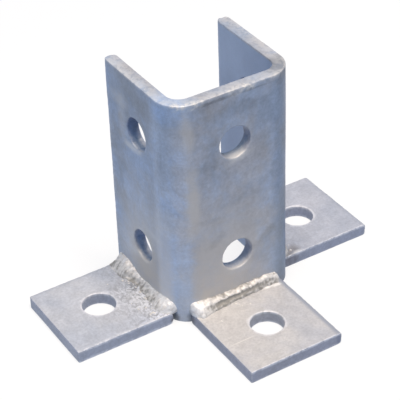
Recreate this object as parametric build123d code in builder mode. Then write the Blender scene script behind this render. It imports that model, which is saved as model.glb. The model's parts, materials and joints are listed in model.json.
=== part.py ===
from build123d import *
from math import sqrt
import os

os.makedirs("parts", exist_ok=True)

# Three-way angle connector: an upright channel that takes a square strut, with a drilled base plate
# welded to each of its three outer faces, level with its foot.
# X runs across the web, Y from the web towards the open back, Z up. The origin is on the floor,
# midway between the flanges, under the bolts that cross the channel.

# The strut that stands in the channel, and its play between the flanges
strut_width = 41.0
strut_play = 2.5

# The channel, folded from one strip
strip_thickness = 5.0
inner_bend_radius = 5.5
flange_depth = 46.5
channel_height = 96.0
back_edge_radius = 2.0

# Bolt holes, for M12
bolt_hole_radius = 6.5
low_hole_height = 24.0
bolt_pitch = 50.0
cross_bolt_from_web = 24.5

# The base plates, cut from flat bar
plate_thickness = 5.0
plate_length = 40.5
plate_width = 40.6
plate_hole_from_end = 20.0
plate_rolled_radius = 2.2

# How far each plate was welded off the cross bolts' line, or off the middle of the web
left_plate_shift = -0.1
right_plate_shift = 4.2
front_plate_shift = -0.6

# Cut edges, rounded by the zinc
edge_round = 0.5

# The fillet weld along the top of each plate
weld_leg = 4.5
weld_crown = 0.5
weld_stop = 1.0
weld_wrap = 5.0
weld_end_round = 1.0

# Worked out from the sizes above
pocket_width = strut_width + strut_play
half_width = pocket_width / 2 + strip_thickness
outer_bend_radius = inner_bend_radius + strip_thickness
web_face = -cross_bolt_from_web
back_edge = web_face + flange_depth
soft_edge = min(edge_round, strip_thickness / 5, plate_thickness / 5)
soft_tip = min(back_edge_radius, strip_thickness * 0.45)
soft_side = min(plate_rolled_radius, plate_thickness * 0.45)

# The channel
with BuildPart() as channel:
    with BuildSketch(Plane.XY) as profile:
        with BuildLine():
            FilletPolyline(
                (-pocket_width / 2, back_edge),
                (-pocket_width / 2, web_face + strip_thickness),
                (pocket_width / 2, web_face + strip_thickness),
                (pocket_width / 2, back_edge),
                radius=inner_bend_radius,
            )
            offset(amount=strip_thickness, side=Side.RIGHT)
        make_face()
        # The strip keeps its rolled edges, at the flanges' backs
        fillet(profile.vertices().group_by(Axis.Y)[-1], soft_tip)
    extrude(amount=channel_height)
    fillet(channel.faces().filter_by(Axis.Z).edges(), soft_edge)

    # Two holes in the web, and two across both flanges
    with Locations(Plane.XZ.offset(-web_face)):
        with Locations((0, low_hole_height), (0, low_hole_height + bolt_pitch)):
            Hole(bolt_hole_radius, depth=strip_thickness)
    with Locations(Plane.YZ):
        with Locations((0, low_hole_height), (0, low_hole_height + bolt_pitch)):
            Hole(bolt_hole_radius)
channel.part.label = "channel"
export_step(channel.part, "parts/channel.step")

# The sides of the channel: the middle of its outer face, how far along it the plate stands, whether
# the bar's rolled edge is the plate's outer end or its far side, and the stretch of that face that can
# take a weld
flange_seat = (web_face + outer_bend_radius - weld_wrap, back_edge - weld_stop)
web_seat_half = half_width - outer_bend_radius + weld_wrap
sides = {
    "left": (Vector(-half_width, 0), left_plate_shift, False, flange_seat),
    "front": (Vector(0, web_face), front_plate_shift, False, (-web_seat_half, web_seat_half)),
    "right": (Vector(half_width, 0), right_plate_shift, True, flange_seat),
}
up = Vector(0, 0, 1)
wrap_depth = outer_bend_radius - sqrt(outer_bend_radius**2 - weld_wrap**2)
crown = weld_leg / 2 + weld_crown / sqrt(2)

for side, (face_middle, shift, rolled_at_end, seat) in sides.items():
    outwards = face_middle.normalized()
    along = Vector(abs(outwards.Y), abs(outwards.X))

    # The base plate: its end on the channel is left square, one side is the bar's rolled edge, and the
    # others are sheared
    floor = Plane(face_middle + along * shift, x_dir=outwards, z_dir=up)
    out_axis = Axis(floor.origin, outwards)
    rolled_axis = out_axis if rolled_at_end else Axis(floor.origin, along)
    with BuildPart() as plate:
        with BuildSketch(floor):
            with Locations((plate_length / 2, 0)):
                Rectangle(plate_length, plate_width)
        extrude(amount=plate_thickness)
        rolled_edges = plate.faces().sort_by(rolled_axis)[-1].edges()
        fillet(rolled_edges - rolled_edges.filter_by(Axis.Z), soft_side)
        root_face = plate.faces().sort_by(out_axis)[0]
        rolled_face = plate.faces().sort_by(rolled_axis)[-1]
        sheared_faces = plate.faces().filter_by(GeomType.PLANE) - plate.faces().filter_by(Axis.Z)
        sheared_faces -= [root_face, rolled_face]
        fillet(sheared_faces.edges() - root_face.edges(), soft_edge)
        with Locations(floor.offset(plate_thickness)):
            with Locations((plate_length - plate_hole_from_end, 0)):
                Hole(bolt_hole_radius, depth=plate_thickness)
    plate.part.label = f"{side}_base_plate"
    export_step(plate.part, f"parts/{plate.part.label}.step")

    # Its weld: a crowned fillet bead in the corner on the flat of the plate, which follows the
    # channel's face a little way round the bend
    weld_start = max(shift - plate_width / 2 + weld_stop, seat[0])
    far_stop = weld_stop if rolled_at_end else max(weld_stop, soft_side)
    weld_end = min(shift + plate_width / 2 - far_stop, seat[1])
    corner = face_middle + along * (weld_start + weld_end) / 2 + up * plate_thickness
    with BuildPart() as weld:
        with BuildSketch(Plane(corner, x_dir=outwards, z_dir=outwards.cross(up))):
            with BuildLine():
                ThreePointArc((weld_leg, 0), (crown, crown), (0, weld_leg))
                Polyline((0, weld_leg), (-wrap_depth, weld_leg), (-wrap_depth, 0), (weld_leg, 0))
            make_face()
        extrude(amount=(weld_end - weld_start) / 2, both=True)
        end_faces = weld.faces().sort_by(Axis(corner, along))
        end_arcs = (end_faces[0].edges() + end_faces[-1].edges()).filter_by(GeomType.CIRCLE)
        fillet(end_arcs, weld_end_round)
        add(channel.part, mode=Mode.SUBTRACT)
    weld.part.label = f"{side}_weld"
    export_step(weld.part, f"parts/{weld.part.label}.step")
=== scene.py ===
import json
import math
import random
import bmesh
import bpy
from mathutils import Matrix, Vector, noise


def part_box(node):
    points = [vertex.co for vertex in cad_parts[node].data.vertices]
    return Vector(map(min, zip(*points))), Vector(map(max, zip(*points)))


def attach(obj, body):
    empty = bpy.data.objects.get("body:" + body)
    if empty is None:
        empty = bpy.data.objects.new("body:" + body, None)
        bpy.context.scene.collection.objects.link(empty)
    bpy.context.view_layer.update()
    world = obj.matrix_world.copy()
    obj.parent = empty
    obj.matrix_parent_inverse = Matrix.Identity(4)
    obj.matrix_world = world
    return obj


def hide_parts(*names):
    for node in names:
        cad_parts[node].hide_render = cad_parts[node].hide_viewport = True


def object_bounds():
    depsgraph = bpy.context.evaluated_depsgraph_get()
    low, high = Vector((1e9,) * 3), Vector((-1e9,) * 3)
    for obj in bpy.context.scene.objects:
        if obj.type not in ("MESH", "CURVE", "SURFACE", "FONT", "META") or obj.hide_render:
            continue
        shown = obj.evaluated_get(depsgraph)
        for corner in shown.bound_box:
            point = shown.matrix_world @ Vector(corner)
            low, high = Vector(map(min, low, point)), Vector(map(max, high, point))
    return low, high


# Three-way angle connector: hot-dipped channel with three welded base plates
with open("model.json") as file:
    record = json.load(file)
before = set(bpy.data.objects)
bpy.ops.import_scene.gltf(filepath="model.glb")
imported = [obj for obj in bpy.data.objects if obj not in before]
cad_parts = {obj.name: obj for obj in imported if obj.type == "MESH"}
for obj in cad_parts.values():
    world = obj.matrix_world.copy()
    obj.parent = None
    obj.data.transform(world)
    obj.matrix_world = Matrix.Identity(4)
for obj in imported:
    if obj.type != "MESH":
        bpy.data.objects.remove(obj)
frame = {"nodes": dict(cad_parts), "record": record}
cadLow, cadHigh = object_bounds()
mounts = {mount["name"]: mount for mount in frame["record"]["mounts"]}
mm = 0.001
tiny = 1e-6
print("frame loaded:", ", ".join(sorted(frame["nodes"])))


# Camera
camera = {
    "place": (-0.2539, -0.4218, 0.3855),
    "aim": (-0.0032, -0.0039, 0.0380),
    "roll": -2.07,  # degrees about the line of sight
    "lens": 142.7,
    "sensor": 36,
    "clip": (0.05, 5),
}


def makeCamera():
    lens = bpy.data.cameras.new("camera")
    lens.lens = camera["lens"]
    lens.sensor_width = camera["sensor"]
    lens.clip_start, lens.clip_end = camera["clip"]
    viewer = bpy.data.objects.new("camera", lens)
    bpy.context.scene.collection.objects.link(viewer)
    place, aim = Vector(camera["place"]), Vector(camera["aim"])
    roll = Matrix.Rotation(math.radians(camera["roll"]), 3, "Z")
    turn = (aim - place).to_track_quat("-Z", "Y").to_matrix() @ roll
    viewer.matrix_world = Matrix.Translation(place) @ turn.to_4x4()
    bpy.context.scene.camera = viewer


makeCamera()
print("camera placed")


# Shared mesh helpers
corners = {
    "sharp": math.radians(50),  # faces that meet at more than this are shaded apart
    "bevelled": 0.75,  # edges that turn by more than this are rounded, in radians
    "besideHole": 1 * mm,  # how far out from a hole's wall an edge still counts as its rim
    "wallFade": 0.4 * mm,
    "leastThickness": 0.25,  # share that is left at the tip of a rolled edge
}


def clamp(value, low=0, high=1):
    return min(high, max(low, value))


def newPiece(name, bm, material, node):
    # the mesh as a finished object, which stands for a CAD node
    bmesh.ops.recalc_face_normals(bm, faces=bm.faces)
    mesh = bpy.data.meshes.new(name)
    bm.to_mesh(mesh)
    bm.free()
    mesh.shade_smooth()
    mesh.set_sharp_from_angle(angle=corners["sharp"])
    piece = bpy.data.objects.new(name, mesh)
    bpy.context.scene.collection.objects.link(piece)
    mesh.materials.append(material)
    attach(piece, "root")
    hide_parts(node)
    return piece


def gridPlaces(stops, step):
    # the stops, and even places about a step apart between them
    places = []
    for low, high in zip(stops, stops[1:]):
        count = max(1, round((high - low) / step))
        places += [low + (high - low) * i / count for i in range(count)]
    return places + [stops[-1]]


def openHole(bm, centre, radius, cell, rings=4):
    # takes the square cell out of the grid, and draws its rim in to a circle, ring by ring
    def near(point, reach):
        return all(abs(point[i] - centre[i]) < reach for i in range(2))

    inside = [face for face in bm.faces if near(face.calc_center_median(), cell)]
    bmesh.ops.delete(bm, geom=inside, context="FACES")
    boundary = [edge for edge in bm.edges if edge.is_boundary]
    rim = [edge for edge in boundary if all(near(vert.co, cell + tiny) for vert in edge.verts)]
    for ring in range(rings):
        drawn = bmesh.ops.extrude_edge_only(bm, edges=rim)["geom"]
        rim = [item for item in drawn if isinstance(item, bmesh.types.BMEdge)]
        for vert in (item for item in drawn if isinstance(item, bmesh.types.BMVert)):
            u, v = vert.co.x - centre[0], vert.co.y - centre[1]
            if ring:
                turn = math.atan2(v, u)
            elif abs(u) >= abs(v):
                turn = v / u * math.pi / 4 + (0 if u > 0 else math.pi)
            else:
                turn = (math.pi / 2 - u / v * math.pi / 4) + (0 if v > 0 else math.pi)
            share = 1 / (rings - ring)
            reach = math.hypot(u, v) * (1 - share) + radius * share
            vert.co.x = centre[0] + reach * math.cos(turn)
            vert.co.y = centre[1] + reach * math.sin(turn)


def flatSheet(placesX, placesY, holes, radius, cell):
    # a flat sheet gridded at those places, with round holes
    bm = bmesh.new()
    columns, rows = len(placesX) - 1, len(placesY) - 1
    bmesh.ops.create_grid(bm, x_segments=columns, y_segments=rows, size=1)
    for vert in bm.verts:
        vert.co.x = placesX[round((vert.co.x + 1) / 2 * columns)]
        vert.co.y = placesY[round((vert.co.y + 1) / 2 * rows)]
    for centre in holes:
        openHole(bm, centre, radius, cell)
    return bm


def thicken(bm, thickness, layers=4):
    # the flat sheet is the outer face, at z 0, and the inner face comes to z = thickness
    flat = bm.faces[:]
    bmesh.ops.recalc_face_normals(bm, faces=flat)
    if flat[0].normal.z > 0:
        bmesh.ops.reverse_faces(bm, faces=flat)
    result = bmesh.ops.extrude_face_region(bm, geom=flat, use_keep_orig=True)
    moved = [item for item in result["geom"] if isinstance(item, bmesh.types.BMVert)]
    bmesh.ops.translate(bm, vec=(0, 0, thickness), verts=moved)
    bmesh.ops.recalc_face_normals(bm, faces=bm.faces)
    # rows round the cut edge, so that it can be uneven
    walls = [edge for edge in bm.edges if abs(edge.verts[0].co.z - edge.verts[1].co.z) > thickness / 2]
    bmesh.ops.subdivide_edges(bm, edges=walls, cuts=layers - 1, use_grid_fill=True)


def cornerEdges(bm, wanted):
    return [edge for edge in bm.edges if edge.calc_face_angle(0) > corners["bevelled"] and wanted(edge)]


def bevelEdges(bm, edges, offset, segments, worn):
    # rounds the edges, and notes how much wear and painted highlight their rims get
    layer = newLayer(bm, "worn")
    result = bmesh.ops.bevel(
        bm, geom=edges, offset=offset, offset_type="OFFSET", segments=segments, profile=0.5,
        affect="EDGES", material=-1, clamp_overlap=True,
    )
    for vert in result["verts"]:
        vert[layer] = worn


def newLayer(bm, name):
    return bm.verts.layers.float.get(name) or bm.verts.layers.float.new(name)


def besideHole(edge, holes, radius):
    middle = (edge.verts[0].co + edge.verts[1].co) / 2
    reach = radius + corners["besideHole"]
    return any(math.hypot(middle.x - hole[0], middle.y - hole[1]) < reach for hole in holes)


def wallNearness(point, centre, radius):
    # 1 on a hole's wall, falling to 0 just outside its rim
    away = math.hypot(point.x - centre[0], point.y - centre[1]) - radius
    return clamp(1 - away / corners["wallFade"])


def rollEdge(vert, away, radius, low, high):
    # thins the sheet near its rolled edge, about the middle of its thickness
    reach = max(0, radius - away)
    kept = 1 - (radius - math.sqrt(max(0, radius ** 2 - reach ** 2))) / ((high - low) / 2)
    middle = (low + high) / 2
    vert.co.z = middle + (vert.co.z - middle) * max(kept, corners["leastThickness"])


def roundCorner(bm, corner, middle, radius):
    # draws the grid in one corner of the flat sheet in to a quarter of a disc
    outward = [1 if corner[i] > middle[i] else -1 for i in range(2)]
    centre = [corner[i] - outward[i] * radius for i in range(2)]
    for vert in bm.verts:
        u, v = ((vert.co[i] - centre[i]) * outward[i] for i in range(2))
        if u > 0 and v > 0:
            squeeze = max(u, v) / math.hypot(u, v)
            vert.co.x = centre[0] + u * squeeze * outward[0]
            vert.co.y = centre[1] + v * squeeze * outward[1]


def swell(point, seed, size):
    # smooth noise about zero, with bumps about that size across
    return noise.noise(Vector(point) / size + Vector((seed, seed * 0.7, -seed)))


def between(stations, place):
    # the row of numbers at a place, eased between the rows on either side
    if place <= stations[0][0]:
        return stations[0][1:]
    for near, far in zip(stations, stations[1:]):
        if place <= far[0]:
            share = (place - near[0]) / (far[0] - near[0])
            share = share * share * (3 - 2 * share)
            return [a + (b - a) * share for a, b in zip(near[1:], far[1:])]
    return stations[-1][1:]


def roughen(bm, seed, depth, size, layer=None):
    # moves each point of the skin in or out a little, and may note how far
    bm.normal_update()
    moves = [(vert, swell(vert.co, seed, size), vert.normal.copy()) for vert in bm.verts]
    for vert, move, normal in moves:
        vert.co += normal * move * depth
        if layer:
            vert[layer] += move


def keepInBox(bm):
    for vert in bm.verts:
        vert.co = Vector(clamp(vert.co[i], cadLow[i], cadHigh[i]) for i in range(3))


# Materials
patchEdge = {"ragged": 1.6, "start": 1.9, "full": 0.9}  # how far the noise moves a patch's edge, and its fade


def newMaterial(name):
    material = bpy.data.materials.new(name)
    material.use_nodes = True
    tree = material.node_tree
    tree.nodes.clear()
    shader = tree.nodes.new("ShaderNodeBsdfPrincipled")
    output = tree.nodes.new("ShaderNodeOutputMaterial")
    tree.links.new(shader.outputs["BSDF"], output.inputs["Surface"])
    return material, tree, shader


def addNode(tree, kind, inputs, **settings):
    # a node with its settings, and each input either linked or given a value
    node = tree.nodes.new(kind)
    for name, value in settings.items():
        setattr(node, name, value)
    for name, value in inputs.items():
        if isinstance(value, bpy.types.NodeSocket):
            tree.links.new(value, node.inputs[name])
        else:
            node.inputs[name].default_value = value
    return node


def partPlace(tree, centre=(0, 0, 0), reach=(1, 1, 1), turn=0):
    # the point's place on the part, seen from a centre, turned about Y, and in units of the reach
    where = addNode(tree, "ShaderNodeTexCoord", {})
    inputs = {"Vector": where.outputs["Object"], "Location": centre, "Rotation": (0, turn, 0), "Scale": reach}
    return addNode(tree, "ShaderNodeMapping", inputs, vector_type="TEXTURE").outputs["Vector"]


def noiseAt(tree, vector, scale, detail=3, rough=0.5, twist=0):
    inputs = {"Vector": vector, "Scale": scale, "Detail": detail, "Roughness": rough, "Distortion": twist}
    return addNode(tree, "ShaderNodeTexNoise", inputs).outputs["Fac"]


def remap(tree, value, low, high, toLow=0, toHigh=1):
    inputs = {"Value": value, "From Min": low, "From Max": high, "To Min": toLow, "To Max": toHigh}
    node = addNode(tree, "ShaderNodeMapRange", inputs, interpolation_type="SMOOTHSTEP")
    return node.outputs["Result"]


def times(tree, first, second):
    return addNode(tree, "ShaderNodeMath", {0: first, 1: second}, operation="MULTIPLY").outputs["Value"]


def blend(tree, factor, first, second):
    node = addNode(tree, "ShaderNodeMix", {}, data_type="RGBA")
    for index, value in ((0, factor), (6, first), (7, second)):
        if isinstance(value, bpy.types.NodeSocket):
            tree.links.new(value, node.inputs[index])
        else:
            node.inputs[index].default_value = value
    return node.outputs[2]


def shaded(tree, colour, value):
    node = addNode(tree, "ShaderNodeVectorMath", {0: colour, "Scale": value}, operation="SCALE")
    return node.outputs["Vector"]


def tinted(tree, factor, colour, tint):
    # multiplied by a tint, so that the patterns stay
    product = addNode(tree, "ShaderNodeVectorMath", {0: colour, 1: tint}, operation="MULTIPLY")
    return blend(tree, factor, colour, product.outputs["Vector"])


def spot(tree, ragged, centre, reach, lean=0):
    # 1 in a patch (mm and degrees), falling to 0 at its reach along each direction, with a ragged edge
    place = partPlace(tree, [c * mm for c in centre], [r * mm for r in reach], math.radians(lean))
    away = addNode(tree, "ShaderNodeVectorMath", {0: place}, operation="LENGTH").outputs["Value"]
    inputs = {0: ragged, 1: patchEdge["ragged"], 2: away}
    rough = addNode(tree, "ShaderNodeMath", inputs, operation="MULTIPLY_ADD")
    return remap(tree, rough.outputs["Value"], patchEdge["start"], patchEdge["full"])


def painted(tree, colour, ragged, patches, paint):
    for strength, *patch in patches:
        colour = blend(tree, times(tree, spot(tree, ragged, *patch), strength), colour, paint)
    return colour


def along(tree, axis):
    where = addNode(tree, "ShaderNodeTexCoord", {})
    return addNode(tree, "ShaderNodeSeparateXYZ", {"Vector": where.outputs["Object"]}).outputs[axis]


def attribute(tree, name):
    return addNode(tree, "ShaderNodeAttribute", {}, attribute_name=name).outputs["Fac"]


def addBump(tree, shader, value, strength, distance):
    inputs = {"Height": value, "Strength": strength, "Distance": distance}
    tree.links.new(addNode(tree, "ShaderNodeBump", inputs).outputs["Normal"], shader.inputs["Normal"])


zinc = {
    "cool": (0.42, 0.50, 0.64, 1),
    "warm": (0.50, 0.505, 0.54, 1),
    "dull": (0.71, 0.66, 0.60, 1),  # painted warm bounce light low on the web and the left flange, and painted warm reflection down the left bend
    "inner": (0.44, 0.55, 0.74, 1),  # painted bluer light inside the channel
    "worn": (0.86, 0.83, 0.78, 1),  # thin zinc on the channel's edges, and painted highlight on its rims, top edge and zinc runs
    "rim": (0.92, 0.92, 0.95, 1),  # and on the plates' edges, partly painted highlight along their top rims
    # zinc smears, partly painted highlight below the hole rims and low on the left bend
    "smear": (0.74, 0.75, 0.77, 1),
    # burnt zinc, and painted shadow in the gaps at the plates' roots
    "burnt": (0.24, 0.22, 0.22, 1),
    "bright": (0.95, 0.94, 0.92, 1),  # thick drips
    "rolled": (0.41, 0.43, 0.485, 1),  # painted shade along the bar's rolled edge
    # painted bluish light on the left flange and the bends
    "blueTint": (0.91, 0.995, 1.085),
    # painted shade, darker and bluer, on the cut faces, the plates' sides and the hole walls
    "cutTint": {"channel": (0.64, 0.69, 0.83), "plate": (0.66, 0.69, 0.82)},
    # the patterns: size in metres, detail, and twist
    "marks": {
        "cloud": (1 / 42, 5, 0.3), "patch": (1 / 130, 4, 0.6),
        "chip": (1 / 420, 4, 0.8), "grain": (1 / 1000, 3, 0),
    },
    "markRough": 0.62,
    "cloudSpread": 0.13,
    "patchSpan": (0.35, 0.65),  # the noise between which each pattern goes from dark to light
    "chipSpan": (0.3, 0.7),
    "grainSpan": (0.3, 0.7),
    "patchTone": (-0.07, 0.06),  # how much darker and lighter it makes the colour
    "chipTone": (-0.045, 0.04),
    "grainTone": (-0.07, 0.07),
    "folds": (1 / 520, 4, 0.7, 1.2),  # next to the welds: size, detail, roughness and twist
    "foldSpan": (0.36, 0.64),
    "wearRagged": (0.38, 0.56, 0.35),  # where the worn and painted-highlight edges fade in the chips, and what is left of them
    "roughSpan": (0.3, 0.7),
    "rough": (0.40, 0.54),
    "bump": (0.3, 0.2 * mm),
    "metal": 0.2,
}


def zincMaterial(name, cool, warm, seed, contrast=1.0):
    # hot-dipped zinc: clouds between a cool and a warm grey, patches, chips and a fine grain
    material, tree, shader = newMaterial(name)
    place = partPlace(tree, (seed, seed * 0.3, -seed))
    marks = {
        key: noiseAt(tree, place, 1 / size, detail, zinc["markRough"], twist)
        for key, (size, detail, twist) in zinc["marks"].items()
    }
    spread = zinc["cloudSpread"] / contrast
    colour = blend(tree, remap(tree, marks["cloud"], 0.5 - spread, 0.5 + spread), cool, warm)
    for key, share in (("patch", contrast), ("chip", 1), ("grain", 1)):
        tone = [1 + change * share for change in zinc[key + "Tone"]]
        colour = shaded(tree, colour, remap(tree, marks[key], *zinc[key + "Span"], *tone))
    return material, tree, shader, marks, colour


def finishZinc(tree, shader, colour, marks, cutTint, worn):
    # painted shade on the cut faces and hole walls, a little darker and bluer; thin bright zinc and painted
    # highlight on the edges
    colour = tinted(tree, attribute(tree, "cut"), colour, cutTint)
    start, full, least = zinc["wearRagged"]
    wear = times(tree, attribute(tree, "worn"), remap(tree, marks["chip"], start, full, least, 1))
    colour = blend(tree, wear, colour, worn)
    tree.links.new(colour, shader.inputs["Base Color"])
    rough = remap(tree, marks["cloud"], *zinc["roughSpan"], *zinc["rough"])
    tree.links.new(rough, shader.inputs["Roughness"])
    shader.inputs["Metallic"].default_value = zinc["metal"]
    addBump(tree, shader, marks["grain"], *zinc["bump"])


channelTones = {
    "seed": 3.0,
    "topShade": 0.86,
    # the marks of drawing the strip: middle, stretch, size, detail, twist, and the noise and tones they span
    "drawn": [
        ((1.7, 0.4, 0), (1, 1, 7), 1 / 110, 3, 0.2, (0.32, 0.68), (0.94, 1.06)),
        ((0.3, 1.1, 0), (5, 5, 1), 1 / 130, 4, 0.4, (0.34, 0.66), (0.94, 1.05)),
    ],
    "drawnRough": 0.6,
    # the channel's regions, each along an axis, from where it starts to where it is full (mm)
    "ramps": {
        "top": ("Z", 45, 95), "flange": ("X", -22.5, -26.2), "foot": ("Z", 64, 10),
        "webFace": ("Y", -22.5, -24), "webSide": ("X", -18.5, -15), "webLeft": ("X", 20, -6),
        "flangeNear": ("Y", 22, 2), "flangeFace": ("X", -24.5, -26.5),
        "rightBend": ("X", 12, 23), "rightBendFront": ("Y", -10, -17),
        "leftBend": ("X", -16, -22), "leftBendFront": ("Y", -8, -15),
        "high": ("Z", 40, 80), "low": ("Z", 60, 10),
    },
    "heatCloud": (0.3, 0.6, 0.7, 1),
    "webRightHeat": 0.25,  # what is left of the painted warm bounce light at the web's right side
    "rightBendShade": 0.62,
    "leftBendShade": 1.18,
    "leftBendTint": 0.5,
    "leftBendLow": (1.1, 0.35),  # low on the left bend: how much lighter the painted light makes it, and how much of it is smeared with painted light
    "innerShare": 0.75,
    # patches: how strong (a shadow below 0 is lighter), the middle, the reach (mm), and the lean in degrees
    # painted warm reflection, mostly down the left bend
    "band": [
        (0.5, (-19.6, -24, 84), (3.2, 6, 15), -2), (0.75, (-18.2, -24, 52), (3.6, 6, 24), -1.5),
        (0.7, (-17.6, -24, 18), (3.2, 6, 20), 0), (0.35, (-26, 10, 76), (3, 4, 16), 0),
    ],
    "shadows": [
        (0.16, (13.8, -24.5, 29.2), (7.0, 4, 2.4), -36), (0.10, (-12, -24.5, 44), (9, 4, 2.6), 8),
        (0.10, (-8.5, -24.5, 34), (7, 4, 3.0), -40), (0.14, (1, -24.5, 88), (20, 4, 5), -3),
        (0.08, (6, -24.5, 52), (14, 4, 6), 8), (0.14, (-10, -24.5, 70), (5, 4, 12), 4),
        (0.15, (-26.7, 14, 60), (3, 9, 24), 0), (0.10, (12, -24.5, 84), (8, 4, 10), 0),
        (0.35, (-7, -24.5, 94.1), (14, 4, 0.9), 0), (0.32, (8, -24.5, 93.9), (9, 4, 0.8), 1),
        (-0.12, (-26.7, -14, 84), (3, 8, 12), 0),
        (0.6, (-25.5, -19.5, 2), (2.5, 2.5, 4), 0), (0.45, (-21, -23.8, 2), (2, 2.5, 4), 0),
        (-0.10, (-26.7, 14, 18), (3, 9, 14), 0), (0.08, (11, -24.5, 22), (7, 4, 9), 0),
    ],
    # smears of zinc, partly painted highlight below the hole rims
    "smears": [
        (0.8, (-26.7, 3.6, 66.8), (3, 7, 2.2), 0), (0.45, (-26.7, 7.0, 18.0), (3, 5.5, 2.2), 0),
        (0.40, (-26.7, -9.0, 34), (3, 9, 2.4), 0), (0.35, (1.5, -24.5, 16.2), (8, 3, 2.0), 0),
        (0.30, (-26.7, 12, 84), (3, 10, 4), 0),
    ],
    # zinc drips at the web holes' lower rims, partly painted highlight
    "drips": [(1.0, (1.5, -22.6, 67.6), (8, 3.4, 3.0), -14), (0.35, (1.5, -22.8, 17.6), (7, 2.2, 1.8), -10)],
}


def ramp(tree, name, toLow=0, toHigh=1):
    axis, start, full = channelTones["ramps"][name]
    return remap(tree, along(tree, axis), start * mm, full * mm, toLow, toHigh)


def channelFinish():
    tones = channelTones
    blueLight, smear = zinc["blueTint"], zinc["smear"]
    material, tree, shader, marks, colour = zincMaterial(
        "channelZinc", zinc["cool"], zinc["warm"], tones["seed"])
    for centre, stretch, size, detail, twist, spans, tone in tones["drawn"]:
        mark = noiseAt(tree, partPlace(tree, centre, stretch), 1 / size, detail, tones["drawnRough"], twist)
        colour = shaded(tree, colour, remap(tree, mark, *spans, *tone))
    # painted shade, darker towards the top, and painted bluish light on the left flange
    colour = shaded(tree, colour, ramp(tree, "top", 1, tones["topShade"]))
    colour = tinted(tree, ramp(tree, "flange"), colour, blueLight)
    # painted warm bounce light from the plates: browner towards the foot, on the web and on the left flange
    warmBounce = times(tree, ramp(tree, "foot"), remap(tree, marks["cloud"], *tones["heatCloud"]))
    web = times(tree, ramp(tree, "webFace"), ramp(tree, "webSide"))
    web = times(tree, web, ramp(tree, "webLeft", tones["webRightHeat"], 1))
    flangeLow = times(tree, ramp(tree, "flangeNear"), ramp(tree, "flangeFace"))
    for region in (web, flangeLow):
        colour = blend(tree, times(tree, region, warmBounce), colour, zinc["dull"])
    # painted shade on the right bend, bluer and darker; painted light on the left one, bluer high up,
    # lighter, and smeared with painted light towards the foot
    bend = times(tree, ramp(tree, "rightBend"), ramp(tree, "rightBendFront"))
    colour = tinted(tree, bend, colour, blueLight)
    colour = shaded(tree, colour, remap(tree, bend, 0, 1, 1, tones["rightBendShade"]))
    bend = times(tree, ramp(tree, "leftBend"), ramp(tree, "leftBendFront"))
    colour = tinted(tree, times(tree, bend, ramp(tree, "high", 0, tones["leftBendTint"])), colour, blueLight)
    colour = shaded(tree, colour, remap(tree, bend, 0, 1, 1, tones["leftBendShade"]))
    low = times(tree, bend, ramp(tree, "low"))
    lighter, smeared = tones["leftBendLow"]
    colour = shaded(tree, colour, remap(tree, low, 0, 1, 1, lighter))
    colour = blend(tree, times(tree, low, smeared), colour, smear)
    ragged = marks["patch"]
    # painted warm reflection down the left bend
    colour = painted(tree, colour, ragged, tones["band"], zinc["dull"])
    for strength, *patch in tones["shadows"]:
        colour = shaded(tree, colour, remap(tree, spot(tree, ragged, *patch), 0, 1, 1, 1 - strength))
    # smears of zinc, partly painted highlight below the hole rims
    colour = painted(tree, colour, ragged, tones["smears"], smear)
    # painted bluer light on the channel's inner faces
    colour = blend(tree, times(tree, attribute(tree, "inner"), tones["innerShare"]), colour, zinc["inner"])
    # zinc drips at the web holes' lower rims, partly painted highlight
    colour = painted(tree, colour, ragged, tones["drips"], zinc["worn"])
    finishZinc(tree, shader, colour, marks, zinc["cutTint"]["channel"], zinc["worn"])
    return material


plateTones = {
    "contrast": 0.8,
    "foldPlace": ((0.2, 0.1, 0), (1, 1.7, 1)),  # the folds' middle and stretch
    # cool, warm, a number for the pattern, and patches: how strong, what, the middle and the reach (mm)
    "left": ((0.55, 0.575, 0.63, 1), (0.60, 0.61, 0.64, 1), 7.0, [
        # painted shadow in the gap at the plate's root
        (0.2, "worn", (-32.5, -8, 5), (6, 14, 2)), (0.9, "burnt", (-26.9, -20.6, 1.5), (1.8, 2.2, 3.5)),
    ]),
    "front": ((0.58, 0.58, 0.60, 1), (0.64, 0.62, 0.60, 1), 9.0, [
        # painted shadow in the gap at the plate's root
        (0.9, "burnt", (-21, -25, 1.5), (2, 2, 3.2)),
        (0.7, "worn", (-14.4, -48.5, 5), (8.0, 0.32, 2)), (0.35, "worn", (-17, -27.5, 5), (5, 4, 2)),
        (1.0, "bright", (12.0, -27.6, 5), (3.5, 1.0, 2)), (1.0, "bright", (15.8, -28.3, 5), (3.5, 1.0, 2)),
    ]),
    "right": ((0.50, 0.525, 0.59, 1), (0.56, 0.575, 0.63, 1), 13.0, [
        # burnt zinc by the weld, partly painted shadow
        (0.85, "burnt", (30.8, -13.8, 4.5), (6.2, 4.2, 4)), (0.7, "burnt", (28, -16.5, 2), (8, 2, 5)),
        (0.6, "bright", (33.6, -15.6, 5), (3, 1.4, 2)),
    ]),
}


def plateFinish(side):
    cool, warm, seed, patches = plateTones[side]
    material, tree, shader, marks, colour = zincMaterial(
        f"{side}PlateZinc", cool, warm, seed, plateTones["contrast"])
    for strength, kind, *patch in patches:
        colour = painted(tree, colour, marks["patch"], [(strength, *patch)], zinc[kind])
    # painted shade along the rolled edge
    colour = blend(tree, attribute(tree, "rolled"), colour, zinc["rolled"])
    # crumpled next to the weld
    size, *kind = zinc["folds"]
    folds = noiseAt(tree, partPlace(tree, *plateTones["foldPlace"]), 1 / size, *kind)
    inputs = {0: remap(tree, folds, *zinc["foldSpan"], -1, 1), 1: attribute(tree, "crumpled"), 2: 1.0}
    tone = addNode(tree, "ShaderNodeMath", inputs, operation="MULTIPLY_ADD")
    colour = shaded(tree, colour, tone.outputs["Value"])
    finishZinc(tree, shader, colour, marks, zinc["cutTint"]["plate"], zinc["rim"])
    return material


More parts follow.
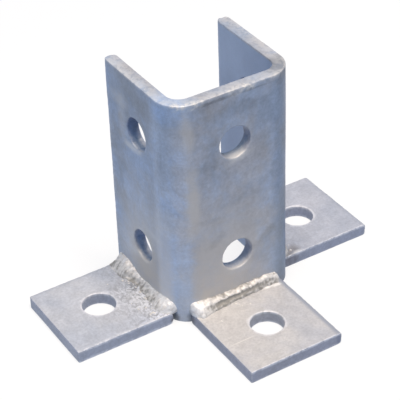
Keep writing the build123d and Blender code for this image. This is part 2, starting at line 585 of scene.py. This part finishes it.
weldMetal = {
    # the bead's colours carry its painted light: bright for the highlight on crests and ridge, hollow for the
    # darker hollows and groove
    "bright": (0.97, 0.95, 0.92, 1),
    "crest": (0.82, 0.79, 0.75, 1),
    "hollow": (0.37, 0.35, 0.315, 1),
    "grainPlace": (0.7, 0.2, 0.1),
    "grain": (1 / 900, 4, 0.6, 0.5),  # size, detail, roughness and twist
    "grainSpan": (0.3, 0.7),
    "hollowToCrest": (-1.1, 0.4),  # the heights between which one colour turns into the next
    "crestToBright": (0.4, 1.2),
    "tone": (0.88, 1.1),
    "rough": (0.40, 0.60),
    "bump": (0.4, 0.3 * mm),
    "metal": 0.15,
}


def weldFinish():
    # zinc over weld metal: a painted highlight on the crests and the ridge, brown, dull and darker in the
    # hollows and the groove, partly painted shade
    material, tree, shader = newMaterial("weldZinc")
    size, *kind = weldMetal["grain"]
    grain = noiseAt(tree, partPlace(tree, weldMetal["grainPlace"]), 1 / size, *kind)
    span = weldMetal["grainSpan"]
    height = attribute(tree, "crest")
    low = remap(tree, height, *weldMetal["hollowToCrest"])
    high = remap(tree, height, *weldMetal["crestToBright"])
    colour = blend(tree, low, weldMetal["hollow"], weldMetal["crest"])
    colour = blend(tree, high, colour, weldMetal["bright"])
    colour = shaded(tree, colour, remap(tree, grain, *span, *weldMetal["tone"]))
    tree.links.new(colour, shader.inputs["Base Color"])
    tree.links.new(remap(tree, grain, *span, *weldMetal["rough"]), shader.inputs["Roughness"])
    shader.inputs["Metallic"].default_value = weldMetal["metal"]
    addBump(tree, shader, grain, *weldMetal["bump"])
    return material


channelZinc = channelFinish()
plateZinc = {side: plateFinish(side) for side in ("left", "front", "right")}
weldZinc = weldFinish()
print("materials made")


# Channel
channel = {
    "thickness": 5 * mm,
    "bendRadius": 10.5 * mm,  # outside
    "backCorner": 1.0 * mm,
    "backEdge": 2.5 * mm,  # the strip's rolled edge
    "backRows": (3.1, 2.4, 1.8, 1.3, 0.9, 0.55, 0.25),  # the grid's last rows, in from it (mm)
    "edge": 0.5 * mm,
    # thin zinc and painted highlight on the rounded edges and hole rims
    "edgeWear": 0.2,
    "holeEdge": 0.5 * mm,
    "holeWear": 0.1,
    "cell": 10 * mm,  # half the square that each hole is drawn in
    "step": 0.8 * mm,
    "border": 1.15 * mm,
    "wave": 0.12 * mm,
    "waveSize": 17 * mm,
    "peel": 0.03 * mm,
    "peelSize": 2.2 * mm,
    "cutRough": 0.35 * mm,
    "cutRoughSize": 1.6 * mm,
    "holeShade": 0.75,
    "holeShadeStop": 0.9,  # the painted shade ends short of the hole's floor, which gets painted light instead
    "holeFloor": 0.42,
    "innerFace": 0.9,  # share of the thickness beyond which a point is on the inner face
    "innerFrom": 0.8 * mm,  # below the top edge
    "topDepth": 0.1 * mm,
    # painted light on the up-facing top edge
    "topWear": 0.37,
    "topWearAcross": 1.3,  # more at the outer face than at the inner one
    "runDepth": 0.5 * mm,  # zinc runs over the top edge
    "runFall": 2.8 * mm,
    "runIn": 1 / 3,  # share of the thickness that it reaches in over
    "runEnd": 2 * mm,
    "runFull": 0.35,
    "runLumps": ((8, 1.7 * mm, 1), (9, 4 * mm, 0.5)),  # a number for the pattern, its size, and how strong
    # painted highlight on the zinc runs over the top edge
    "runWear": 2.4,
    # where the runs are, from the middle of the web: from, to, and how strong
    "runs": ((-26 * mm, -12 * mm, 1.0), (-4 * mm, 11 * mm, 0.8), (14 * mm, 22 * mm, 0.3)),
}


def foldChannel(bm, halfWidth, front):
    # wraps the flat strip round the two bends: x is the way along it from the middle of the web
    radius = channel["bendRadius"]
    flat = halfWidth - radius
    arc = radius * math.pi / 2
    for vert in bm.verts:
        side = 1 if vert.co.x >= 0 else -1
        away, height, depth = abs(vert.co.x), vert.co.y, vert.co.z
        if away <= flat:
            x, y = away, front + depth
        elif away <= flat + arc:
            turn = (away - flat) / radius
            x = flat + (radius - depth) * math.sin(turn)
            y = front + radius - (radius - depth) * math.cos(turn)
        else:
            x, y = halfWidth - depth, front + radius + away - flat - arc
        vert.co = (side * x, y, height)


def channelSizes():
    # places on the flat strip, out from its middle and up from its foot
    low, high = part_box("channel")
    radius = channel["bendRadius"]
    flat = high.x - radius
    bendEnd = flat + radius * math.pi / 2
    bolts = [mounts[name] for name in ("lower_cross_bolt", "upper_cross_bolt")]
    boltLine = bendEnd + bolts[0]["pos_m"][1] - low.y - radius
    heights = [bolt["pos_m"][2] for bolt in bolts]
    return {
        "halfWidth": high.x, "front": low.y, "top": high.z, "flat": flat, "bendEnd": bendEnd,
        "reach": bendEnd + (high.y - low.y - radius), "boltLine": boltLine, "heights": heights,
        "holes": [(x, height) for x in (-boltLine, 0, boltLine) for height in heights],
        "radius": bolts[0]["dims"]["r_mm"] * mm,
    }


def channelStrip(size):
    # the flat strip: x is the way along it, y is up, and its outer face is at z 0
    cell, border, step = channel["cell"], channel["border"], channel["step"]
    reach, top, boltLine = size["reach"], size["top"], size["boltLine"]
    half = [cell, size["flat"], size["bendEnd"], boltLine - cell, boltLine + cell]
    half += [reach - row * mm for row in channel["backRows"]] + [reach]
    stopsX = [-place for place in reversed(half)] + half
    stopsY = [0, border]
    for height in size["heights"]:
        stopsY += [height - cell, height + cell]
    stopsY += [top - border, top]
    bm = flatSheet(gridPlaces(stopsX, step), gridPlaces(stopsY, step), size["holes"], size["radius"], cell)
    for corner in ((-reach, 0), (reach, 0), (-reach, top), (reach, top)):
        roundCorner(bm, corner, (0, top / 2), channel["backCorner"])
    thicken(bm, channel["thickness"])
    for vert in bm.verts:
        rollEdge(vert, reach - abs(vert.co.x), channel["backEdge"], 0, channel["thickness"])

    def atHole(edge):
        return besideHole(edge, size["holes"], size["radius"])

    bevelEdges(bm, cornerEdges(bm, atHole), channel["holeEdge"], 4, channel["holeWear"])
    bevelEdges(bm, cornerEdges(bm, lambda edge: not atHole(edge)), channel["edge"], 3, channel["edgeWear"])
    return bm


def zincRun(point, fall):
    # how thick the zinc that ran over the top edge is there
    thick = 0
    for low, high, strength in channel["runs"]:
        inside = clamp(min(point.x - low, high - point.x) / channel["runEnd"])
        lump = channel["runFull"]
        for seed, size, share in channel["runLumps"]:
            lump += share * swell(point, seed, size)
        thick += fall * inside * strength * max(0, lump)
    return thick


def weatherChannel(bm, size):
    # marks what the zinc's colours follow, and makes the skin and the cut faces uneven
    bm.normal_update()
    inner, paintedShadeLayer, worn = (newLayer(bm, name) for name in ("inner", "cut", "worn"))
    radius, top = size["radius"], size["top"]
    moves = []
    for vert in bm.verts:
        within = vert.co.z / channel["thickness"]  # 0 on the outer face, 1 on the inner one
        cut = max(0, 4 * within * (1 - within))
        down = top - vert.co.y
        x, y = min(size["holes"], key=lambda hole: math.hypot(vert.co.x - hole[0], vert.co.y - hole[1]))
        nearness = wallNearness(vert.co, (x, y), radius)
        floorward = (y - vert.co.y) / radius  # 1 at the bottom of a hole
        # painted shade on the hole walls, fading before their floors
        vert[paintedShadeLayer] = channel["holeShade"] * nearness * clamp(channel["holeShadeStop"] - floorward)
        # painted light on each hole's up-facing floor
        vert[worn] = max(vert[worn], channel["holeFloor"] * nearness * max(0, floorward))
        # marks the inner faces for their painted bluer light
        vert[inner] = 1 if within > channel["innerFace"] and down > channel["innerFrom"] else 0
        # painted light on the up-facing top edge
        if down < channel["topDepth"]:
            vert[worn] = channel["topWear"] * (channel["topWearAcross"] - within)
        fall = max(0, 1 - down / channel["runFall"]) * max(0, 1 - within / channel["runIn"])
        run = zincRun(vert.co, fall)
        # painted highlight on the runs
        vert[worn] = min(1, vert[worn] + channel["runWear"] * run)
        move = run * channel["runDepth"]
        move += channel["wave"] * swell(vert.co, 5, channel["waveSize"])
        move += channel["peel"] * swell(vert.co, 6, channel["peelSize"])
        move += cut * channel["cutRough"] * swell(vert.co, 7, channel["cutRoughSize"])
        moves.append((vert, vert.normal * move))
    for vert, move in moves:
        vert.co += move


def makeChannel():
    size = channelSizes()
    bm = channelStrip(size)
    weatherChannel(bm, size)
    foldChannel(bm, size["halfWidth"], size["front"])
    keepInBox(bm)
    return newPiece("channelBody", bm, channelZinc, "channel")


makeChannel()
print("channel folded")


# Base plates
plates = {
    "step": 0.6 * mm,
    "near": (0, 0.3, 0.65, 1.1, 1.7),  # where the grid's first rows are, in from each side (mm)
    "cell": 10 * mm,
    "edge": 0.3 * mm,
    # thin zinc and painted highlight on the rounded edges and hole rims
    "edgeWear": 1.0,
    "holeEdge": 0.35 * mm,
    "holeWear": 0.6,
    "wave": 0.10 * mm,
    "waveSize": 12 * mm,
    "peel": 0.05 * mm,
    "peelSize": 2.4 * mm,
    "cutRough": 0.16 * mm,
    "cutRoughSize": 1.2 * mm,
    "burn": 0.4 * mm,  # roughness next to the weld
    "burnSize": 1.4 * mm,
    "burnReach": {"left": 9 * mm, "front": 4 * mm, "right": 5 * mm},
    "crumple": {"left": 0.75, "front": 0.15, "right": 0.25},
    "sideShade": {"left": 0.6, "front": 1.0, "right": 0.65},
    "rolledShade": {"left": 0.2, "front": 1.0, "right": 0.2},
    "rolledBand": 3.3 * mm,
    "rolledFade": 1.1 * mm,
    # the painted highlights along the top rims, with some worn zinc, and how far in they reach
    "rim": {"left": {"near": 1.3 * mm}, "front": {"end": 0.5 * mm}, "right": {"near": 0.45 * mm}},
    "rimWear": 0.95,
    "topFrom": 0.9,  # share of the thickness above which a point is on the top face
    "sideDepth": 0.1 * mm,
    "wearDepth": 1 * mm,
    "forward": (9 * mm, 5 * mm, 0.3),  # the left plate is crumpled at the front of its weld, less behind
    "holeShade": 0.65,
    # how much painted highlight and wear each top edge keeps
    "wear": {
        "left": {"near": 1.0, "end": 0.1, "back": 0.1, "root": 0},
        "front": {"end": 0.5, "low": 0.2, "high": 0, "root": 0},
        "right": {"near": 0.2, "end": 0.15, "back": 0.15, "root": 0},
    },
    "corner": 0.5 * mm,
    "rolledCorner": {"left": 2.4 * mm, "front": 1.6 * mm, "right": 1.5 * mm},
    # the sides that keep the bar's rolled edge, and its radius: the others are sheared
    "left": {"back": 2.2 * mm, "root": 1.6 * mm},
    "front": {"high": 2.4 * mm},
    "right": {"end": 2.2 * mm},
}


def plateSides(side, low, high):
    # a function that says how far a point is from the plate's welded end, its root, and from each free side
    places = {
        "left": {"root": 1, "end": 0, "back": 3, "near": 2},
        "front": {"root": 3, "end": 2, "low": 0, "high": 1},
        "right": {"root": 0, "end": 1, "back": 3, "near": 2},
    }[side]

    def fromSides(point):
        gaps = (point.x - low.x, high.x - point.x, point.y - low.y, high.y - point.y)
        return {name: gaps[place] for name, place in places.items()}

    return fromSides


def plateSheet(side, low, high, centre, radius, fromSides):
    cell, step = plates["cell"], plates["step"]
    near = [row * mm for row in plates["near"]]
    stops = [
        [low[i] + away for away in near] + [centre[i] - cell, centre[i] + cell]
        + [high[i] - away for away in reversed(near)] for i in range(2)
    ]
    bm = flatSheet(gridPlaces(stops[0], step), gridPlaces(stops[1], step), [centre], radius, cell)
    middle = ((low.x + high.x) / 2, (low.y + high.y) / 2)
    for corner in ((low.x, low.y), (high.x, low.y), (low.x, high.y), (high.x, high.y)):
        away = fromSides(Vector((*corner, 0)))
        if away["root"] > tiny:
            rolled = any(away[name] < tiny for name in plates[side])
            roundCorner(bm, corner, middle, plates["rolledCorner"][side] if rolled else plates["corner"])
    thicken(bm, high.z - low.z)
    for vert in bm.verts:
        away = fromSides(vert.co)
        for name, rolled in plates[side].items():
            rollEdge(vert, away[name], rolled, low.z, high.z)

    def atHole(edge):
        return besideHole(edge, [centre], radius)

    def free(edge):
        return not atHole(edge) and not all(fromSides(v.co)["root"] < tiny for v in edge.verts)

    bevelEdges(bm, cornerEdges(bm, atHole), plates["holeEdge"], 3, plates["holeWear"])
    bevelEdges(bm, cornerEdges(bm, free), plates["edge"], 3, plates["edgeWear"])
    return bm


def weatherPlate(bm, side, seed, low, high, centre, radius, fromSides):
    # marks what the zinc's colours follow, and makes the skin, the cut faces and the weld's end uneven
    bm.normal_update()
    names = ("cut", "worn", "crumpled", "rolled")
    paintedShadeLayer, worn, crumpled, rolledBand = (newLayer(bm, name) for name in names)
    start, fade, least = plates["forward"]
    moves = []
    for vert in bm.verts:
        within = (vert.co.z - low.z) / (high.z - low.z)
        onTop = within > plates["topFrom"]
        cut = max(0, 4 * within * (1 - within))
        away = fromSides(vert.co)
        nearest = min(away, key=away.get)
        burn = math.exp(-away["root"] / plates["burnReach"][side]) * within
        forward = clamp((start - vert.co.y) / fade, least) if side == "left" else 1
        vert[crumpled] = burn * plates["crumple"][side] * forward if onTop else 0
        # painted shade on the hole walls
        vert[paintedShadeLayer] = plates["holeShade"] * wallNearness(vert.co, centre, radius) * (1 - within ** 4)
        # painted shade along the rolled edges
        for name in plates[side]:
            if name != "root":
                band = (plates["rolledBand"] - away[name]) / plates["rolledFade"]
                vert[rolledBand] = plates["rolledShade"][side] * clamp(band)
        # painted shade on the plate's sides
        if away[nearest] < plates["sideDepth"]:
            vert[paintedShadeLayer] = max(vert[paintedShadeLayer], plates["sideShade"][side])
        # how much of the painted highlight and wear each edge keeps
        if away[nearest] < plates["wearDepth"]:
            vert[worn] *= plates["wear"][side][nearest]
        # painted highlight along the top rims
        for name, reach in plates["rim"][side].items():
            if onTop:
                vert[worn] = max(vert[worn], plates["rimWear"] * max(0, 1 - away[name] / reach))
        move = plates["wave"] * swell(vert.co, seed, plates["waveSize"])
        move += plates["peel"] * swell(vert.co, seed + 1, plates["peelSize"])
        move += cut * plates["cutRough"] * swell(vert.co, seed + 2, plates["cutRoughSize"])
        move += burn * plates["burn"] * swell(vert.co, seed + 3, plates["burnSize"])
        moves.append((vert, vert.normal * move))
    for vert, move in moves:
        vert.co += move


def makePlate(side, seed):
    low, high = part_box(f"{side}_base_plate")
    bolt = mounts[f"{side}_plate_bolt"]
    centre, radius = bolt["pos_m"], bolt["dims"]["r_mm"] * mm
    fromSides = plateSides(side, low, high)
    bm = plateSheet(side, low, high, centre, radius, fromSides)
    weatherPlate(bm, side, seed, low, high, centre, radius, fromSides)
    keepInBox(bm)
    return newPiece(f"{side}Plate", bm, plateZinc[side], f"{side}_base_plate")


for seed, side in enumerate(("left", "front", "right")):
    makePlate(side, 20 + 4 * seed)
print("plates made")


# Welds
welds = {
    "around": 40,
    "step": 0.4 * mm,
    "sunk": 0.4 * mm,
    "outerShare": 0.8,  # of the points round the bead: the rest are sunk in the corner
    "endRound": 2.2 * mm,
    "endLeast": 0.35,
    "lump": {"left": 0.34 * mm, "front": 0.20 * mm, "right": 0.3 * mm},
    "lumpSize": 2.6 * mm,
    "fine": {"left": 0.17 * mm, "front": 0.14 * mm, "right": 0.15 * mm},
    "fineSize": 1.0 * mm,
    "groove": 0.55 * mm,
    "groovePlace": (0.30, 0.14),  # how far round the bead, and its half width
    "ridgeWidth": 0.14,
    # the painted highlight along the bead's ridge: how strong, and how far round the bead from its toe
    "ridge": {"left": (1.0, 0.62), "front": (0.5, 0.52), "right": (0.3, 0.52)},
    "ripple": {"left": 0.12 * mm, "front": 0.17 * mm, "right": 0.12 * mm},  # folds across the bead
    "rippleTone": {"left": 0.5, "front": 0.7, "right": 0.7},
    "rippleSize": 0.9 * mm,
    "rippleRound": 1.5 * mm,  # how far the folds run on while the bead is crossed
    "wrap": 0.95,  # the most of a bend that a bead follows
    "toeWander": 0.5 * mm,
    "wanderSize": {"plate": 3 * mm, "channel": 3.4 * mm},
    "spatter": {"left": 22, "front": 6, "right": 8},
    "spatterStop": {"left": 0.72, "front": 1, "right": 1},  # how far along the bead it falls
    "spatterCrest": 0.5,
    "spatterSize": (0.25 * mm, 0.55 * mm),
    "spatterReach": 3.0 * mm,
    "spatterLimit": 12 * mm,
    # the bead, place by place along it (mm): how far it comes out on the plate and up the channel,
    # how full it is between the two, from 0.6 for hollow through 1 for flat to 3 for bulging, how deep
    # the groove along its middle is, from 0 to 1, which is also painted darker, and how much painted light it
    # gets, below 0 for painted shade
    "left": [
        (-20.2, 2.6, 3.6, 1.2, 0, 1.2), (-18.0, 4.2, 4.4, 1.3, 0, 1.3), (-14.0, 4.8, 4.0, 1.4, 0, 1.0),
        (-10.0, 4.2, 3.2, 1.2, 0, 0.2), (-4.0, 3.6, 2.8, 1.0, 0.1, 0.4), (3.0, 3.4, 2.4, 1.0, 0.3, 0.4),
        (5.5, 4.0, 2.6, 1.3, 0.6, 0.2), (8.5, 5.2, 3.6, 1.9, 0, 0.4), (12.0, 5.8, 4.6, 1.7, 0, 0.4),
        (15.5, 6.0, 4.9, 1.2, 0, 0.2), (18.0, 6.2, 4.8, 0.9, 0.2, 0), (20.2, 6.6, 4.4, 0.7, 0.3, 0),
    ],
    "front": [
        (-21.2, 4.6, 4.6, 1.6, 0, 1.2), (-18.0, 5.4, 4.4, 1.8, 0, 1.0), (-14.5, 4.6, 4.0, 2.0, 0.4, 0.2),
        (-10.0, 4.0, 3.5, 2.2, 1, -0.3), (-3.0, 3.5, 3.5, 2.2, 1, -0.3), (3.0, 3.3, 3.7, 2.3, 0.7, -0.3),
        (9.0, 3.0, 3.9, 2.4, 0.5, -0.2), (13.5, 2.8, 3.8, 2.4, 0.4, 0), (16.4, 2.6, 3.2, 2.2, 0, 0.1),
        (18.4, 2.0, 2.0, 1.6, 0, 0),
    ],
    "right": [
        (-15.8, 3.6, 3.6, 1.6, 0, 0), (-11.0, 4.6, 4.2, 2.0, 0, 0), (-5.0, 3.8, 3.4, 1.8, 0.4, 0),
        (3.0, 4.4, 3.8, 2.2, 0, 0), (10.0, 3.8, 3.2, 1.6, 0.4, 0), (15.0, 4.8, 4.2, 2.2, 0, 0),
        (20.6, 4.6, 4.0, 1.4, 0, 0),
    ],
}


def beadBar(length):
    # a bar one unit long, with a ring of points for each step of a bead of that length
    bm = bmesh.new()
    bmesh.ops.create_cone(
        bm, cap_ends=True, cap_tris=False, segments=welds["around"], radius1=1, radius2=1, depth=1,
    )
    longEdges = [edge for edge in bm.edges if abs(edge.verts[0].co.z - edge.verts[1].co.z) > 0.5]
    rings = round(length / welds["step"])
    bmesh.ops.subdivide_edges(bm, edges=longEdges, cuts=rings - 1, use_grid_fill=True)
    return bm


def addSpatter(bm, side, crest, place, start, stop, chance):
    # drops of weld metal on the plate, fewer the farther they are from the bead
    for drop in range(welds["spatter"][side]):
        s = start + (stop - start) * chance.uniform(0, welds["spatterStop"][side])
        out = between(welds[side], s / mm)[0] * mm + chance.expovariate(1 / welds["spatterReach"])
        size = chance.uniform(*welds["spatterSize"])
        shape = Matrix.Translation(place(s, out, 0)) @ Matrix.Diagonal((size, size, size * 0.5, 1))
        if out < welds["spatterLimit"]:
            for vert in bmesh.ops.create_icosphere(bm, subdivisions=2, radius=1, matrix=shape)["verts"]:
                vert[crest] = welds["spatterCrest"]


def makeWeld(side, seed):
    low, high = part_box("channel")
    halfWidth, front = high.x, low.y
    radius = channel["bendRadius"]
    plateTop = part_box(f"{side}_base_plate")[1].z
    stations = welds[side]
    start, stop = stations[0][0] * mm, stations[-1][0] * mm

    def bendAway(s):
        # how far the channel's face has turned away from the weld there
        past = abs(s) - (halfWidth - radius) if side == "front" else front + radius - s
        past = clamp(past, 0, radius * welds["wrap"])
        return radius - math.sqrt(radius ** 2 - past ** 2)

    def place(s, out, up):
        # from the weld's own directions to the part's
        if side == "front":
            return Vector((s, front - out, plateTop + up))
        return Vector(((halfWidth + out) * (1 if side == "right" else -1), s, plateTop + up))

    bm = beadBar(stop - start)
    sunk, outer = welds["sunk"], welds["outerShare"]
    wander, wanderSize = welds["toeWander"], welds["wanderSize"]
    crest = newLayer(bm, "crest")
    for vert in bm.verts:
        share = math.atan2(vert.co.y, vert.co.x) / (2 * math.pi) % 1
        s = start + (vert.co.z + 0.5) * (stop - start)
        out, up, full, groove, paintedShine = between(stations, s / mm)
        ends = min(s - start, stop - s, welds["endRound"]) / welds["endRound"]
        least = welds["endLeast"]
        ends = least + (1 - least) * math.sqrt(max(0, 1 - (1 - ends) ** 2))
        out = (out * mm + wander * swell((s, 0, 0), seed, wanderSize["plate"])) * ends
        up = (up * mm + wander * swell((s, 9, 0), seed, wanderSize["channel"])) * ends
        back = bendAway(s) + sunk
        if share < outer:
            turn = share / outer * math.pi / 2
            middle, width = welds["groovePlace"]
            dip = groove * max(0, 1 - ((share - middle) / width) ** 2)
            fold = swell((s, share * welds["rippleRound"], 0), seed + 5, welds["rippleSize"])
            dent = fold * welds["ripple"][side] - dip * welds["groove"]
            x = -back + (out + back) * math.cos(turn) ** (2 / full) + dent
            z = -sunk + (up + sunk) * math.sin(turn) ** (2 / full) + dent / 2
            # painted light on the bead: a highlight along the ridge and on the raised folds, shade in the
            # groove
            strength, ridge = welds["ridge"][side]
            near = math.exp(-((share - ridge) / welds["ridgeWidth"]) ** 2)
            ripples = paintedShine * (1 + fold) + welds["rippleTone"][side] * fold
            vert[crest] = ripples - dip + strength * (near - 0.5)
        else:
            down = (share - outer) / (1 - outer)
            x = -back + (out + back) * max(0, 2 * down - 1)
            z = -sunk + (up + sunk) * max(0, 1 - 2 * down)
        vert.co = place(s, x, z)
    bmesh.ops.recalc_face_normals(bm, faces=bm.faces)
    # the bumps that stand out get painted highlight, the dents painted shade
    roughen(bm, seed, welds["lump"][side], welds["lumpSize"], crest if side == "left" else None)
    roughen(bm, seed + 1, welds["fine"][side], welds["fineSize"], crest)
    addSpatter(bm, side, crest, place, start, stop, random.Random(seed))
    keepInBox(bm)
    return newPiece(f"{side}Weld", bm, weldZinc, f"{side}_weld")


for seed, side in enumerate(("left", "front", "right")):
    makeWeld(side, 40 + 3 * seed)
print("welds laid")


# Studio
studio = {
    "floorSize": 6,
    "floorGap": 0.02 * mm,
    "paper": (0.97, 0.97, 0.97, 1),
    "shadowShare": 0.25,  # how much of the paper's own shading is seen
    "bounce": (0.22, 0.29, 0.42, 1),  # what the floor throws back on the part
    "world": (0.50, 0.70, 1.0, 1),
    "worldStrength": 0.42,
    "keyPlace": (-0.02, -0.20, 1.3),
    "keySize": 0.5,
    "keyPower": 17.5,
    "keyColour": (1.0, 0.86, 0.72),
}


def paperFinish():
    # white to the camera and in reflections, with a little of its own shade, and bluer to the part
    material = bpy.data.materials.new("paper")
    material.use_nodes = True
    tree = material.node_tree
    tree.nodes.clear()
    paper = addNode(tree, "ShaderNodeBsdfDiffuse", {"Color": studio["paper"]}).outputs["BSDF"]
    bounce = addNode(tree, "ShaderNodeBsdfDiffuse", {"Color": studio["bounce"]}).outputs["BSDF"]
    white = addNode(tree, "ShaderNodeEmission", {}).outputs["Emission"]
    rays = addNode(tree, "ShaderNodeLightPath", {}).outputs
    either = rays["Is Camera Ray"]
    for name in ("Is Glossy Ray", "Is Transmission Ray"):
        most = addNode(tree, "ShaderNodeMath", {0: either, 1: rays[name]}, operation="MAXIMUM")
        either = most.outputs["Value"]
    shares = {"Fac": studio["shadowShare"], 1: white, 2: paper}
    seen = addNode(tree, "ShaderNodeMixShader", shares).outputs["Shader"]
    pick = addNode(tree, "ShaderNodeMixShader", {"Fac": either, 1: bounce, 2: seen}).outputs["Shader"]
    output = addNode(tree, "ShaderNodeOutputMaterial", {})
    tree.links.new(pick, output.inputs["Surface"])
    return material


def makeFloor():
    bm = bmesh.new()
    bmesh.ops.create_grid(bm, x_segments=1, y_segments=1, size=studio["floorSize"] / 2)
    bmesh.ops.translate(bm, vec=(0, 0, cadLow.z - studio["floorGap"]), verts=bm.verts)
    mesh = bpy.data.meshes.new("floor")
    bm.to_mesh(mesh)
    bm.free()
    floor = bpy.data.objects.new("floor", mesh)
    bpy.context.scene.collection.objects.link(floor)
    mesh.materials.append(paperFinish())


def makeLamp():
    lamp = bpy.data.lights.new("key", "AREA")
    lamp.shape = "SQUARE"
    lamp.size = studio["keySize"]
    lamp.energy = studio["keyPower"]
    lamp.color = studio["keyColour"]
    holder = bpy.data.objects.new("key", lamp)
    bpy.context.scene.collection.objects.link(holder)
    place = Vector(studio["keyPlace"])
    holder.matrix_world = Matrix.Translation(place) @ (-place).to_track_quat("-Z", "Y").to_matrix().to_4x4()


def makeWorld():
    world = bpy.data.worlds.new("studio")
    bpy.context.scene.world = world
    world.use_nodes = True
    sky = world.node_tree.nodes["Background"]
    sky.inputs["Color"].default_value = studio["world"]
    sky.inputs["Strength"].default_value = studio["worldStrength"]


makeFloor()
makeWorld()
makeLamp()
bpy.context.scene.view_settings.view_transform = "Standard"
print("studio lit")
